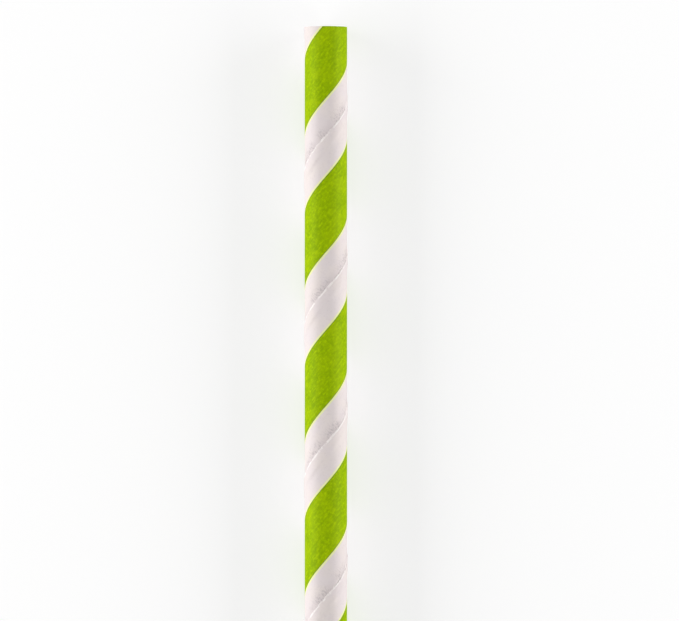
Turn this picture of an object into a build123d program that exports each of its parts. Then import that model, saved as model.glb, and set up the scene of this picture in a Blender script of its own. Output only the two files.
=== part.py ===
"""Paper drinking straw, wound in a spiral from three plies of paper.

Two core plies and a thin printed outer ply are wound on a mandrel, glued to
each other and cut off square, so the straw is one stiff piece. Each ply is a
long strip. The outer strip laps over its own last turn, which leaves a fine
raised seam that climbs round the straw. The innermost strip only meets its
last turn edge to edge, which leaves a narrow groove round the bore.

The straw lies along X with its middle at the origin. Its upper end is at +X.
The seams are right-handed, like a common screw thread.
"""

import os
from math import atan2, cos, degrees, pi

from build123d import *

# Sizes of the tube, in millimetres
length = 197.0
outer_diameter = 6.0
outer_ply = 0.08
core_ply = 0.16
core_plies = 2

# Winding of the plies, in millimetres
pitch = 21.7
lap_width = 1.2
lap_slope = 0.5
lap_from_end = 15.4
butt_gap = 0.3
butt_from_end = 4.6

# The groove's cutter starts this far inside the bore and ends as far past the straw
cutter_margin = 0.5

outer_radius = outer_diameter / 2
bore_radius = outer_radius - outer_ply - core_plies * core_ply


def angle_at_lower_end(from_end):
    """Where a seam meets the lower end, in degrees from Y towards Z.

    from_end is how far below the upper end the seam crosses the line that
    runs along the top of the lying straw.
    """
    return 90 - 360 * (length - from_end) / pitch


def angle_across(width, radius):
    """Angle, in degrees, that a width square to the seam takes up on the cut end."""
    seam_slant = atan2(2 * pi * radius, pitch)
    return degrees(width / (radius * cos(seam_slant)))


def at(radius, angle):
    """Point of the cut end at a radius and an angle in degrees."""
    return Vector(radius, 0).rotate(Axis.Z, angle)


with BuildPart() as straw:
    # Wall of all three plies
    lower_end = Plane.YZ.offset(-length / 2)
    with BuildSketch(lower_end):
        Circle(outer_radius)
        Circle(bore_radius, mode=Mode.SUBTRACT)
    extrude(amount=length)

    # Lap of the outer ply: a sharp cut edge on its upper side, as high as the ply
    # is thick, then a flat crest, then a slope where the ply comes down again.
    # The slope goes on as far below the surface as it rises above it.
    crest_radius = outer_radius + outer_ply
    foot_radius = outer_radius - outer_ply
    cut_edge = angle_at_lower_end(lap_from_end)
    crest_end = cut_edge + angle_across(lap_width, outer_radius)
    surface = crest_end + angle_across(lap_slope, outer_radius)
    foot_end = surface + angle_across(lap_slope, outer_radius)
    with BuildSketch(lower_end) as lap_section:
        with BuildLine():
            Line(at(foot_radius, cut_edge), at(crest_radius, cut_edge))
            ThreePointArc(
                at(crest_radius, cut_edge),
                at(crest_radius, (cut_edge + crest_end) / 2),
                at(crest_radius, crest_end),
            )
            ThreePointArc(
                at(crest_radius, crest_end),
                at(outer_radius, surface),
                at(foot_radius, foot_end),
            )
            ThreePointArc(
                at(foot_radius, foot_end),
                at(foot_radius, (cut_edge + foot_end) / 2),
                at(foot_radius, cut_edge),
            )
        make_face()
    axis = Line((-length / 2, 0, 0), (length / 2, 0, 0))
    winding = Helix(pitch, length, outer_radius, center=axis @ 0, direction=axis % 0)
    sweep(lap_section.sketch, path=axis, binormal=winding)

    # Groove where the edges of the innermost ply meet, as deep as the ply is thick
    cutter_start = -length / 2 - cutter_margin
    cutter_turn = 360 * cutter_margin / pitch
    groove_side = angle_at_lower_end(butt_from_end) - cutter_turn
    other_side = groove_side + angle_across(butt_gap, bore_radius)
    cutter_inside = bore_radius - cutter_margin
    groove_bottom = bore_radius + core_ply
    with BuildSketch(Plane.YZ.offset(cutter_start)) as groove_section:
        with BuildLine():
            Line(at(cutter_inside, groove_side), at(groove_bottom, groove_side))
            ThreePointArc(
                at(groove_bottom, groove_side),
                at(groove_bottom, (groove_side + other_side) / 2),
                at(groove_bottom, other_side),
            )
            Line(at(groove_bottom, other_side), at(cutter_inside, other_side))
            Line(at(cutter_inside, other_side), at(cutter_inside, groove_side))
        make_face()
    long_axis = Line((cutter_start, 0, 0), (-cutter_start, 0, 0))
    long_winding = Helix(
        pitch, long_axis.length, bore_radius, center=long_axis @ 0, direction=axis % 0
    )
    sweep(
        groove_section.sketch,
        path=long_axis,
        binormal=long_winding,
        mode=Mode.SUBTRACT,
    )

straw.part.label = "straw"

os.makedirs("parts", exist_ok=True)
export_step(straw.part, "parts/straw.step")
print("wall", round(outer_radius - bore_radius, 3), "mm, bore", round(2 * bore_radius, 3), "mm")
print("valid", straw.part.is_valid, "volume", round(straw.part.volume, 2), "mm3")
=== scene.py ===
# %% [markdown]
# # A paper drinking straw
#
# A paper straw is three strips of paper wound round a steel rod in a spiral, glued
# and cut off square. The outermost strip is thin and printed before it is wound, so
# a straight band of green ink on a flat strip becomes the stripe that climbs round
# the straw. This lesson dresses that straw: its shape comes from one end section
# wound along the straw, and its colour, fibres and seam come from one material that
# thinks in the coordinates of the flat strip.
#
# The solid that fixes the size and place of the straw is loaded first. Its box is
# kept, and its lowest point sets the height of the floor.

# %% Load the straw's solid
from math import atan2, cos, pi, radians, sin

import bmesh
import bpy
from mathutils import Matrix, Vector, noise


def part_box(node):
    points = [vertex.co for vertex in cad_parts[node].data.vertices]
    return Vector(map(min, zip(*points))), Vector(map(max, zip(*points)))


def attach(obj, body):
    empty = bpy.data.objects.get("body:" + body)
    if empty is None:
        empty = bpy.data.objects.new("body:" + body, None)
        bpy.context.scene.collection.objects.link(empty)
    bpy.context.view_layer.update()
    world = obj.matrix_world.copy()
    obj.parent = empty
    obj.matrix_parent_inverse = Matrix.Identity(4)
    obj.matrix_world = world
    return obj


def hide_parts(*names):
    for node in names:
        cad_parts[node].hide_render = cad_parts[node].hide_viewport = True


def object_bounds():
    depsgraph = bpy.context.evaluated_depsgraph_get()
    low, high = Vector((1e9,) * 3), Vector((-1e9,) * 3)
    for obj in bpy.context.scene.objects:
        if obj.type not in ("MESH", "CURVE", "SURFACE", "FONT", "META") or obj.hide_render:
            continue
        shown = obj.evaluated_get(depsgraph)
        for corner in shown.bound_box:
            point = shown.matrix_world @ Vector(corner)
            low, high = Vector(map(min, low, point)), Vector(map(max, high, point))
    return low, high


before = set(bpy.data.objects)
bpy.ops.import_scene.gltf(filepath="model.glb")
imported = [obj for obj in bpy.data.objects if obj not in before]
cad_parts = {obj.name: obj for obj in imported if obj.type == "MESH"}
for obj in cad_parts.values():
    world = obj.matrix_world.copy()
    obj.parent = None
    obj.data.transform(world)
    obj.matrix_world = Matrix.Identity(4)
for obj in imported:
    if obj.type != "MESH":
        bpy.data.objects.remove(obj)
solid_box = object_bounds()
print("solid box", solid_box)

# %% [markdown]
# ## Sizes
#
# The frame gives the length. The winding is given in millimetres, because that is
# how a straw is drawn: the pitch is how far a strip climbs in one turn, and the lap
# is how far the outer strip covers its own edge. Everything that follows the
# winding is counted from the upper end, along the line on top of the lying straw.

# %% Sizes of the straw
mm = 0.001
low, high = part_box("straw")
length = high.x - low.x
outer_ply = 0.08 * mm
core_ply = 0.16 * mm
outer_radius = (high.z - low.z) / 2 - outer_ply
bore_radius = outer_radius - outer_ply - 2 * core_ply
pitch = 21.7 * mm
lap_width = 1.2 * mm
lap_slope = 0.5 * mm
lap_from_end = 15.4 * mm
butt_gap = 0.3 * mm
butt_from_end = 4.6 * mm
winding_angle = atan2(2 * pi * outer_radius, pitch)
strip_width = pitch * sin(winding_angle)
print("straw", round(length / mm, 2), "mm long,", round(2 * outer_radius / mm, 2), "mm across")
print("flat strip", round(strip_width / mm, 2), "mm wide between its seams")

# %% [markdown]
# ## The end section
#
# Looked at from its cut end the straw is a ring that isn't quite round. Where the
# outer strip covers its own edge the ring steps out by the thickness of one ply, stays
# there for the width of the lap and slopes back. Just before the step it dips a
# little, where the wet paper was pressed down. Inside, the innermost strip leaves a
# narrow groove. Two circles make this ring. Their vertices are slid round so that
# two of them stand at each sharp edge, and then pushed in or out by a rule.

# %% Rules for the outer and inner outline
def turn_of(width, radius):
    """The angle round the straw that a width square to the seam takes up."""
    slant = atan2(2 * pi * radius, pitch)
    return width / (radius * cos(slant))


dip_width = 3.2 * mm
dip_depth = 0.015 * mm
sharp_edge = radians(0.4)
lap_end = turn_of(lap_width, outer_radius)
slope_end = lap_end + turn_of(lap_slope, outer_radius)
dip_start = 2 * pi - turn_of(dip_width, outer_radius)
groove_end = turn_of(butt_gap, bore_radius)


def ease(amount):
    """A number from 0 to 1 made to start and stop gently."""
    amount = min(max(amount, 0), 1)
    return amount * amount * (3 - 2 * amount)


def outer_rise(angle):
    """How far the printed ply stands above its own radius, past the cut edge."""
    if angle < sharp_edge / 2:
        return -dip_depth
    if angle < lap_end:
        return outer_ply
    if angle < slope_end:
        return outer_ply * (1 - ease((angle - lap_end) / (slope_end - lap_end)))
    return -dip_depth * ease((angle - dip_start) / (2 * pi - dip_start))


def inner_rise(angle):
    """How far the groove between the edges of the innermost ply is cut into the wall."""
    in_groove = sharp_edge / 2 < angle < groove_end + sharp_edge / 2
    return core_ply if in_groove else 0


def spread(count, stops):
    """Angles for a ring: the stops first, and the rest of the turn shared out evenly."""
    rest = count - len(stops)
    gap = (2 * pi - stops[-1]) / (rest + 1)
    return stops + [stops[-1] + gap * (n + 1) for n in range(rest)]


# %% Draw both rings and push their vertices to the rules
ring_count = 110
seam_stops = [0, sharp_edge]
groove_stops = [0, sharp_edge, groove_end, groove_end + sharp_edge]


def draw_ring(mesh, radius, angles, rise, first_angle):
    """A circle in the plane of the lower end whose radius follows a rule."""
    ring = bmesh.ops.create_circle(mesh, segments=len(angles), radius=radius)["verts"]
    ring.sort(key=lambda vert: atan2(vert.co.y, vert.co.x) % (2 * pi))
    for vert, angle in zip(ring, angles):
        reach = radius + rise(angle)
        around = first_angle + angle
        vert.co = Vector((-length / 2, reach * cos(around), reach * sin(around)))


def angle_at_lower_end(from_end):
    """Where a seam that starts from_end below the upper end meets the lower end."""
    return pi / 2 - 2 * pi * (length - from_end) / pitch


mesh = bmesh.new()
lap_angle = angle_at_lower_end(lap_from_end)
draw_ring(mesh, outer_radius, spread(ring_count, seam_stops), outer_rise, lap_angle)
groove_angle = angle_at_lower_end(butt_from_end)
draw_ring(mesh, bore_radius, spread(ring_count, groove_stops), inner_rise, groove_angle)
print("end section", len(mesh.verts), "vertices")

# %% [markdown]
# ## Winding the section
#
# The section is turned and moved along at the same time, which the spin operator
# does when it is given a step along its axis. Every edge of the mesh then runs along
# the winding, so the lap keeps a crisp edge from end to end. A ready-made cylinder's
# edges would cut across the seam and leave it jagged.
#
# The operator gets slower as its mesh grows. One stretch of the straw is wound, and
# copies of it are screwed on end to end and merged.

# %% Wind one stretch of the wall
stretches = 8
stretch_steps = 50
stretch_length = length / stretches
stretch_turn = 2 * pi * stretch_length / pitch
bmesh.ops.spin(
    mesh,
    geom=mesh.verts[:] + mesh.edges[:],
    cent=(0, 0, 0),
    axis=(1, 0, 0),
    dvec=(stretch_length / stretch_steps, 0, 0),
    angle=stretch_turn,
    steps=stretch_steps,
    use_merge=False,
    use_duplicate=False,
)
print("one stretch", len(mesh.faces), "faces")

# %% Screw on the other stretches
merge_distance = 0.001 * mm
first_stretch = mesh.verts[:] + mesh.edges[:] + mesh.faces[:]
for number in range(1, stretches):
    copied = bmesh.ops.duplicate(mesh, geom=first_stretch)["geom"]
    verts = [item for item in copied if isinstance(item, bmesh.types.BMVert)]
    turned = Matrix.Rotation(number * stretch_turn, 4, "X")
    moved = Matrix.Translation((number * stretch_length, 0, 0))
    bmesh.ops.transform(mesh, matrix=moved @ turned, verts=verts)
bmesh.ops.remove_doubles(mesh, verts=mesh.verts, dist=merge_distance)
print("wound wall", len(mesh.faces), "faces")

# %% [markdown]
# ## The cut ends
#
# A knife cuts through all three plies while the straw turns. The cut is square but
# never clean: fibres stand a hair higher or lower across it. At each end the outer
# and the inner ring are joined vertex by vertex, in their order round the straw. The
# faces are divided across the wall, and the vertices there are pushed in by up to a
# few hundredths of a millimetre by smooth noise.

# %% Close the two ends
wall_middle = (outer_radius + bore_radius) / 2
wall_cuts = 5
for side in (-1, 1):
    rim = [vert for vert in mesh.verts if vert.is_boundary and vert.co.x * side > 0]
    rim.sort(key=lambda vert: atan2(vert.co.z, vert.co.y))
    outside = [vert for vert in rim if vert.co.yz.length > wall_middle]
    inside = [vert for vert in rim if vert.co.yz.length < wall_middle]
    for n in range(ring_count):
        mesh.faces.new((outside[n - 1], outside[n], inside[n], inside[n - 1]))
    across_wall = [mesh.edges.get(pair) for pair in zip(outside, inside)]
    bmesh.ops.subdivide_edges(mesh, edges=across_wall, cuts=wall_cuts)

# %% Roughen the cut
cut_depth = 0.03 * mm
coarse_fibre = 2600
fine_fibre = 7000
end_verts = [vert for vert in mesh.verts if abs(vert.co.x) > length / 2 - cut_depth]
for vert in end_verts:
    inward = -1 if vert.co.x > 0 else 1
    fibre = noise.noise(vert.co * coarse_fibre) + 0.6 * noise.noise(vert.co * fine_fibre)
    vert.co.x += inward * cut_depth * ease(0.5 + 0.5 * fibre)
print("ends closed with", len(end_verts), "vertices")

# %% [markdown]
# ## Small unevenness
#
# Wet glued paper never dries to a perfect tube. A slow noise moves the whole wall in
# and out by about a hundredth of a millimetre, which is enough to make the light
# run unevenly along it.

# %% Make the wall a little uneven
unevenness = 0.012 * mm
along_straw = 90
round_straw = 260
for vert in mesh.verts:
    x, y, z = vert.co
    place = Vector((x * along_straw, y * round_straw, z * round_straw))
    vert.co += Vector((0, y, z)).normalized() * (unevenness * noise.noise(place))

# %% Shade it smooth and hand it over
bmesh.ops.recalc_face_normals(mesh, faces=mesh.faces)
sharp_angle = radians(35)
for edge in mesh.edges:
    edge.smooth = edge.calc_face_angle(pi) < sharp_angle
for face in mesh.faces:
    face.smooth = True
print("closed mesh", all(edge.is_manifold for edge in mesh.edges))
print("volume", round(mesh.calc_volume() / mm**3, 1), "cubic mm")

paper_data = bpy.data.meshes.new("wound_paper")
mesh.to_mesh(paper_data)
mesh.free()
straw = bpy.data.objects.new("wound_paper", paper_data)
bpy.context.scene.collection.objects.link(straw)
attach(straw, "root")
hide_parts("straw")
paper_data.calc_loop_triangles()
print("triangles", len(paper_data.loop_triangles))

# %% [markdown]
# ## Shader maths that reads like arithmetic
#
# A pattern that follows a winding takes a few dozen sums, and a web of Math nodes is
# hard to read. A small class wraps a socket, so that adding or multiplying two
# of them adds the node. Every other node comes from one method that takes its type,
# its settings and what goes into its sockets.

# %% A socket that can be added and multiplied
class Number:
    """A number that changes over the surface."""

    def __init__(self, paint, socket):
        self.paint = paint
        self.socket = socket

    def sum(self, operation, *values):
        return self.paint.node("ShaderNodeMath", {"operation": operation}, (self,) + values)

    def __add__(self, other):
        return self.sum("ADD", other)

    def __sub__(self, other):
        return self.sum("SUBTRACT", other)

    def __mul__(self, other):
        return self.sum("MULTIPLY", other)

    def __truediv__(self, other):
        return self.sum("DIVIDE", other)

    def __rsub__(self, other):
        return self.paint.node("ShaderNodeMath", {"operation": "SUBTRACT"}, (other, self))

    __radd__ = __add__
    __rmul__ = __mul__

    def size(self):
        return self.sum("ABSOLUTE")

    def whole(self):
        return self.sum("FLOOR")

    def above(self, start, stop):
        """0 below start and 1 above stop, with a soft step between."""
        settings = {"interpolation_type": "SMOOTHSTEP"}
        return self.paint.node(
            "ShaderNodeMapRange", settings, {"Value": self, "From Min": start, "From Max": stop}
        )


# %% The nodes of a material
class Paint:
    """The nodes of one material."""

    def __init__(self, name):
        self.material = bpy.data.materials.new(name)
        self.material.use_nodes = True
        self.nodes = self.material.node_tree.nodes
        self.links = self.material.node_tree.links
        self.nodes.clear()

    def node(self, kind, settings=None, values=(), output=0):
        """Add a node, set it up, fill its sockets and return one output."""
        made = self.nodes.new(kind)
        for name, value in (settings or {}).items():
            setattr(made, name, value)
        pairs = values.items() if isinstance(values, dict) else enumerate(values)
        for key, value in pairs:
            if isinstance(value, Number):
                self.links.new(value.socket, made.inputs[key])
            else:
                made.inputs[key].default_value = value
        if made.outputs:
            return Number(self, made.outputs[output])

    def mix(self, factor, one, other):
        """Mix two colours. Sockets 0, 6 and 7 of the node are its factor and colours."""
        settings = {"data_type": "RGBA"}
        return self.node("ShaderNodeMix", settings, {0: factor, 6: one, 7: other}, output=2)

    def noise(self, place, scale, detail=2.0, rough=0.5):
        """Smooth noise from 0 to 1, about 0.5 in the middle."""
        sockets = {"Vector": place, "Scale": scale, "Detail": detail, "Roughness": rough}
        return self.node("ShaderNodeTexNoise", {}, sockets)

    def point(self, x, y, z):
        return self.node("ShaderNodeCombineXYZ", {}, (x, y, z))


# %% [markdown]
# ## Coordinates of the flat strip
#
# The straw lies along X, so a point's angle round it comes from Y and Z. The turn
# number grows by one for each pitch down the straw and each turn round it. Its
# whole part says which turn of the strip the point is on, and what is left over says
# how far across the strip it lies. Taking whole turns off the angle joins the angle's
# jump at the back, so the fibres run on unbroken and stop only at the seam, as
# they do on the real strip. Lengths here are in millimetres.

# %% Unwind the straw in the shader
per_mm = 1000
strip = strip_width / mm
top_turn = 0.25


def flat_strip(paint):
    """Distance along and across the printed strip, and distance from the axis."""
    # Output 3 of the node holds Object coordinates
    place = paint.node("ShaderNodeTexCoord", {}, (), output=3)
    x = paint.node("ShaderNodeSeparateXYZ", {}, (place,), output=0) * per_mm
    y = paint.node("ShaderNodeSeparateXYZ", {}, (place,), output=1) * per_mm
    z = paint.node("ShaderNodeSeparateXYZ", {}, (place,), output=2) * per_mm
    angle = z.sum("ARCTAN2", y)
    below = length / 2 / mm - x
    turn = below / (pitch / mm) + angle / (2 * pi) - top_turn - lap_from_end / pitch
    across = (turn - turn.whole()) * strip
    unwound = (angle - turn.whole() * (2 * pi)) * (outer_radius / mm)
    along = unwound * sin(winding_angle) + x * cos(winding_angle)
    reach = (y * y + z * z).sum("SQRT")
    return along, across, reach


# %% [markdown]
# ## The sheet
#
# Bare paper is never one colour. Slow clouds make it warmer or cooler, small flecks
# make it greyer, and its fibres lie mostly along the strip, as they do on paper from a
# roll. A very fine tooth is felt rather than seen, and goes only into the relief.

# %% Colour the bare sheet
def colour(red, green, blue):
    return (red, green, blue, 1.0)


paper_white = colour(0.83, 0.752, 0.75)
paper_warm = colour(0.85, 0.77, 0.745)
# Grey of the random flecks; beside the seam the same grey is painted shade.
fleck_grey_and_painted_shade = colour(0.69, 0.61, 0.62)


def sheet_noises(paint, along, across, reach):
    """The clouds, flecks, fibres and tooth of the sheet."""
    flat = paint.point(along, across, reach)
    drawn_out = paint.point(along * 0.4, across * 1.6, reach)
    cloud = paint.noise(flat, 0.35, 2.0)
    fleck = paint.noise(flat, 2.6, 4.0, 0.7)
    fibres = paint.noise(drawn_out, 2.4, 4.0, 0.65)
    tooth = paint.noise(flat, 16.0, 2.0, 0.6)
    return cloud, fleck, fibres, tooth


def bare_sheet(paint, cloud, fleck):
    """White paper, a little warmer or cooler from place to place."""
    white = paint.mix(cloud.above(0.35, 0.65), paper_white, paper_warm)
    return paint.mix(fleck.above(0.50, 0.72) * 0.30, white, fleck_grey_and_painted_shade)


# %% [markdown]
# ## The seam
#
# The seam runs down the bare part of the strip. Along the cut edge of the paper runs a
# thin bright line, a painted highlight where the edge catches the light, which wanders
# a little and is broken from place to place. The side above it is painted slightly
# greyer, as painted shade beside the raised edge, with small wrinkles where the paper
# was pulled over the edge below, their creases darkened with painted shade. Distances
# are taken from the cut edge: down the turn that starts there, and up the turn that
# ends there.

# %% Paint the seam
# A colour for painted shade in the creases of the wrinkles.
crease_shade = colour(0.54, 0.48, 0.49)
# A painted highlight for the cut edge, where it catches the light.
edge_highlight = colour(1.0, 0.945, 0.93)
seam_wander = 0.26
wrinkled_width = 1.8
# How far the painted shade beside the cut edge reaches, in millimetres.
painted_shade_width = 1.3


def seam(paint, along, across, white):
    """Add the seam, its painted highlight and its painted shade, to the paper. Its wrinkles are
    returned too, for the relief.
    """
    swing = paint.noise(paint.point(along, 0.0, 0.0), 1.8, 3.0)
    wander = (swing - 0.5) * seam_wander
    under = across + wander
    over = strip - across - wander

    crease = paint.noise(paint.point(along * 2.2, across, 4.0), 2.0, 4.0, 0.65)
    patchy = paint.noise(paint.point(along, 7.0, 0.0), 0.3, 1.0).above(0.42, 0.55)
    creases = crease.above(0.50, 0.58) * (1 - over.above(0.2, wrinkled_width)) * patchy
    # Painted shade on the side above the cut edge, fading away from it.
    painted_shade_side = (1 - over.above(0.05, painted_shade_width)) * 0.42
    white = paint.mix(painted_shade_side, white, fleck_grey_and_painted_shade)
    # Painted shade darkens the creases of the wrinkles.
    white = paint.mix(creases * 0.6, white, crease_shade)

    # Painted highlight along the cut edge, broken from place to place.
    lit_edge = (1 - under.above(0.13, 0.26)) + (1 - over.above(0.05, 0.12))
    broken = paint.noise(paint.point(along, 2.0, 0.0), 0.9, 4.0, 0.7).above(0.42, 0.56)
    white = paint.mix(lit_edge * (0.12 + 0.88 * broken), white, edge_highlight)
    return white, creases


# %% [markdown]
# ## The green band
#
# The ink is one straight band down the strip. Seen close up its edge wanders by a few
# hundredths of a millimetre, with a darker line just inside it where the ink piled up
# and a pale yellow line just outside it where the ink bled. The green isn't flat
# either: paper takes ink unevenly, which gives a fine mottle. Near the middle of the
# band the edges of the ply below show through as a faint line.

# %% Place the band on the strip
ink_from_end = 21.2
ink_to_end = 31.9
past_middle = 0.9
square_to_strip = sin(winding_angle)
band_from = (ink_from_end - lap_from_end / mm) * square_to_strip
band_to = (ink_to_end - lap_from_end / mm) * square_to_strip
band_middle = (band_from + band_to) / 2
band_half = (band_to - band_from) / 2
under_seam = band_middle + past_middle
print("ink from", round(band_from, 2), "to", round(band_to, 2), "mm across the strip")

# %% Print the band
ink_green = colour(0.345, 0.525, 0.001)
ink_deep = colour(0.255, 0.415, 0.001)
ink_light = colour(0.48, 0.65, 0.002)
ink_edge = colour(0.19, 0.29, 0.002)
ink_bleed = colour(0.93, 0.96, 0.42)
bleed_out = 0.12


def green_ink(paint, inside, show_through, cloud, mottle):
    """Mottled ink, darker along its edge and over the edges of the ply below."""
    green = paint.mix(mottle.above(0.40, 0.56), ink_deep, ink_green)
    green = paint.mix(mottle.above(0.52, 0.63) * 0.8, green, ink_light)
    green = paint.mix(cloud.above(0.40, 0.72) * 0.35, green, ink_light)
    green = paint.mix((1 - inside.above(0.05, 0.20)) * 0.75, green, ink_edge)
    return paint.mix(show_through * 0.22, green, ink_deep)


def print_band(paint, across, white, cloud, fleck, fibres):
    """Print the band on the white paper. Its ink and the line from below come too."""
    ragged = (fleck - 0.5) * 0.07 + (fibres - 0.5) * 0.05
    inside = band_half - (across - band_middle).size() + ragged
    ink = inside.above(-0.025, 0.025)
    show_through = 1 - (across - under_seam).size().above(0.02, 0.16)
    green = green_ink(paint, inside, show_through, cloud, fleck * 0.55 + fibres * 0.45)
    bleed = (1 - (inside + bleed_out).size().above(0.06, 0.19)) * 0.9
    white = paint.mix(bleed, white, ink_bleed)
    return paint.mix(ink, white, green), ink, show_through


# %% [markdown]
# ## The core plies
#
# Only the outermost ply is printed. The cut ends and the bore show the bare core
# paper, and across the cut a fine glue line marks where each ply meets the next.

# %% Colour the core paper
core_white = colour(0.80, 0.77, 0.73)
glue_line = colour(0.60, 0.56, 0.50)
ply_radii = (outer_radius - outer_ply, outer_radius - outer_ply - core_ply)


def core_paper(paint, reach, cloud, fibres):
    """Bare core paper with a glue line between the plies."""
    bare = paint.mix(cloud, core_white, paper_warm)
    for ply_radius in ply_radii:
        from_glue = (reach - ply_radius / mm + (fibres - 0.5) * 0.03).size()
        bare = paint.mix((1 - from_glue.above(0.006, 0.03)) * 0.55, bare, glue_line)
    return bare


# %% [markdown]
# ## The whole material
#
# The printed side is told from the core by its distance from the axis. The relief is
# fibres and tooth all over, with the wrinkles and the line from below pressed in on
# the printed side. The paper is matt, and the ink a little less so.

# %% Put the printed paper together
ink_depth = 0.05
ink_blur = 0.005


def printed_paper():
    """White paper with a band of green ink, following the strip as it was wound."""
    paint = Paint("printed_paper")
    along, across, reach = flat_strip(paint)
    cloud, fleck, fibres, tooth = sheet_noises(paint, along, across, reach)
    white, creases = seam(paint, along, across, bare_sheet(paint, cloud, fleck))
    printed, ink, show_through = print_band(paint, across, white, cloud, fleck, fibres)

    printed_from = outer_radius / mm - ink_depth
    outside = reach.above(printed_from - ink_blur, printed_from + ink_blur)
    base = paint.mix(outside, core_paper(paint, reach, cloud, fibres), printed)

    relief = fibres * 0.5 + tooth * 0.3 + fleck * 0.4
    relief = relief - (creases * 3.0 + show_through * 0.8) * outside
    bump = {"Strength": 0.45, "Distance": 0.03 * mm, "Height": relief}
    paper = {
        "Base Color": base,
        "Roughness": 0.62 + (fleck - 0.5) * 0.16 - ink * 0.08,
        "Normal": paint.node("ShaderNodeBump", {}, bump),
        "IOR": 1.45,
        "Specular IOR Level": 0.05,
    }
    surface = paint.node("ShaderNodeBsdfPrincipled", {}, paper)
    paint.node("ShaderNodeOutputMaterial", {}, {"Surface": surface})
    return paint.material


straw.data.materials.append(printed_paper())
print("printed paper", len(straw.data.materials[0].node_tree.nodes), "nodes")

# %% [markdown]
# ## Floor
#
# The straw lies on a plain white floor. The floor is a little grey to the light, so it
# can show a shadow. It adds a little light of its own for the camera only, which
# lifts it to white in the picture and lights nothing.

# %% Lay the floor
floor_size = 3.0
rest_height = solid_box[0][2]
flat_floor = bmesh.new()
bmesh.ops.create_grid(flat_floor, x_segments=1, y_segments=1, size=floor_size)
bmesh.ops.translate(flat_floor, verts=flat_floor.verts, vec=(0, 0, rest_height))
floor_data = bpy.data.meshes.new("floor")
flat_floor.to_mesh(floor_data)
flat_floor.free()
floor = bpy.data.objects.new("floor", floor_data)
bpy.context.scene.collection.objects.link(floor)

# %% Paint the floor
floor_paint = Paint("white_floor")
floor_grey = colour(0.45, 0.45, 0.45)
floor_lift = 0.63
seen_directly = floor_paint.node("ShaderNodeLightPath")
shaded = floor_paint.node("ShaderNodeBsdfDiffuse", {}, {"Color": floor_grey})
lifted = floor_paint.node("ShaderNodeEmission", {}, {"Strength": seen_directly * floor_lift})
both = floor_paint.node("ShaderNodeAddShader", {}, (shaded, lifted))
floor_paint.node("ShaderNodeOutputMaterial", {}, {"Surface": both})
floor.data.materials.append(floor_paint.material)

# %% [markdown]
# ## Light
#
# The straw is lit softly from both long sides, which makes its flanks a little
# brighter than the line on top. A weaker lamp beyond the upper end catches the cut
# edge of the paper, along the seam and round that end. The lamps are large, so the
# shadows are soft. A dim white sky fills the rest, and the camera alone sees it as
# full white.

# %% Set the lamps
def soft_lamp(name, place, size, power):
    """A rectangular lamp that faces the middle of the straw."""
    data = bpy.data.lights.new(name, "AREA")
    data.shape = "RECTANGLE"
    data.size, data.size_y = size
    data.energy = power
    lamp = bpy.data.objects.new(name, data)
    lamp.location = place
    lamp.visible_camera = False
    to_straw = Vector((0, 0, 0)) - Vector(place)
    lamp.rotation_euler = to_straw.to_track_quat("-Z", "Y").to_euler()
    bpy.context.scene.collection.objects.link(lamp)


side_size = (0.9, 0.22)
side_reach = 0.60
side_height = 0.18
soft_lamp("lamp_left", (0.0, side_reach, side_height), side_size, 4.8)
soft_lamp("lamp_right", (0.0, -side_reach, side_height), side_size, 4.2)
soft_lamp("lamp_upper_end", (0.75, 0.0, 0.40), (0.5, 0.3), 1.1)

# %% Light the sky
sky_strength = 0.21
sky = bpy.data.worlds.new("sky")
sky.use_nodes = True
sky_tree = sky.node_tree
sky_tree.nodes.clear()
background = sky_tree.nodes.new("ShaderNodeBackground")
background.inputs["Color"].default_value = colour(1, 1, 1)
path = sky_tree.nodes.new("ShaderNodeLightPath")
level = sky_tree.nodes.new("ShaderNodeMapRange")
level.inputs["To Min"].default_value = sky_strength
level.inputs["To Max"].default_value = 1.0
sky_tree.links.new(path.outputs["Is Camera Ray"], level.inputs["Value"])
sky_tree.links.new(level.outputs["Result"], background.inputs["Strength"])
world_out = sky_tree.nodes.new("ShaderNodeOutputWorld")
sky_tree.links.new(background.outputs["Background"], world_out.inputs["Surface"])
bpy.context.scene.world = sky

# %% [markdown]
# ## Camera
#
# The photograph looks square on at an upright straw. This one lies down, so the
# camera looks straight down at it, with the straw's upper end at the top of the
# picture. The place of the straw in the photograph, in pixels, fixes the rest: how
# many pixels make a millimetre, how far the middle of the picture lies from the
# straw's upper end, and how far to its side.

# %% Place the camera
picture_width, picture_height = 679, 621
straw_middle, straw_width, straw_top = 325.9, 42.4, 27.0
pixels_per_mm = straw_width / (2 * outer_radius / mm)
eye_distance = 0.8
eye_x = length / 2 - (picture_height / 2 - straw_top) / pixels_per_mm * mm
eye_y = -(picture_width / 2 - straw_middle) / pixels_per_mm * mm

camera_data = bpy.data.cameras.new("camera")
camera_data.sensor_fit = "HORIZONTAL"
camera_data.sensor_width = 36.0
focal_pixels = pixels_per_mm / mm * eye_distance
camera_data.lens = focal_pixels * camera_data.sensor_width / picture_width
camera_data.clip_start = 0.01
camera_data.clip_end = 20.0
camera = bpy.data.objects.new("camera", camera_data)
right, up, back = Vector((0, -1, 0)), Vector((1, 0, 0)), Vector((0, 0, 1))
turned = Matrix((right, up, back)).transposed()
camera.matrix_world = Matrix.Translation((eye_x, eye_y, eye_distance)) @ turned.to_4x4()
bpy.context.scene.collection.objects.link(camera)
bpy.context.scene.camera = camera
bpy.context.scene.view_settings.view_transform = "Standard"
print("lens", round(camera_data.lens, 1), "mm, eye above x", round(eye_x / mm, 1), "mm")
